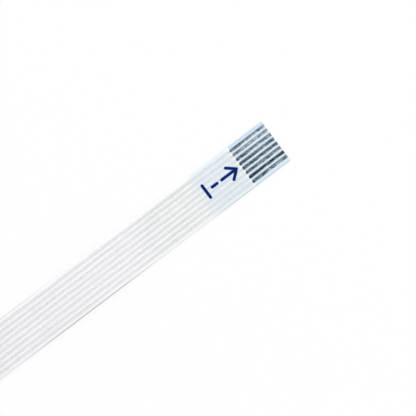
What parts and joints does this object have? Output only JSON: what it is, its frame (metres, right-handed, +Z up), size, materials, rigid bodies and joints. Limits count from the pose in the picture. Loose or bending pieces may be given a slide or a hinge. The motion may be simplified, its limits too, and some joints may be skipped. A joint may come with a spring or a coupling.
{
  "type": "flat flex cable",
  "caption": "Flat flexible jumper cable: flat tinned conductors laminated between white films, with bare contacts over a blue stiffener at both ends.",
  "frame": {"origin": "on the surface that the cable lies on, under the middle of its length and width", "axes": "+X along the cable to the end that the picture shows, +Y across it, +Z up, the way the bare contacts face"},
  "size_m": [0.05, 0.0044, 0.001],
  "materials": {
    "insulation_film": "white polyester film with a soft gloss, faintly grey over each conductor",
    "tinned_copper": "dull tin plate with a fine uneven grain",
    "stiffener_tape": "blue polyester tape, smooth"
  },
  "bodies": {
    "root": {"upper_film": "insulation_film", "lower_film": "insulation_film", "conductor_1": "tinned_copper", "conductor_2": "tinned_copper", "conductor_3": "tinned_copper", "conductor_4": "tinned_copper", "conductor_5": "tinned_copper", "conductor_6": "tinned_copper", "conductor_7": "tinned_copper", "conductor_8": "tinned_copper", "stiffener_near": "stiffener_tape", "stiffener_far": "stiffener_tape"}
  },
  "joints": []
}
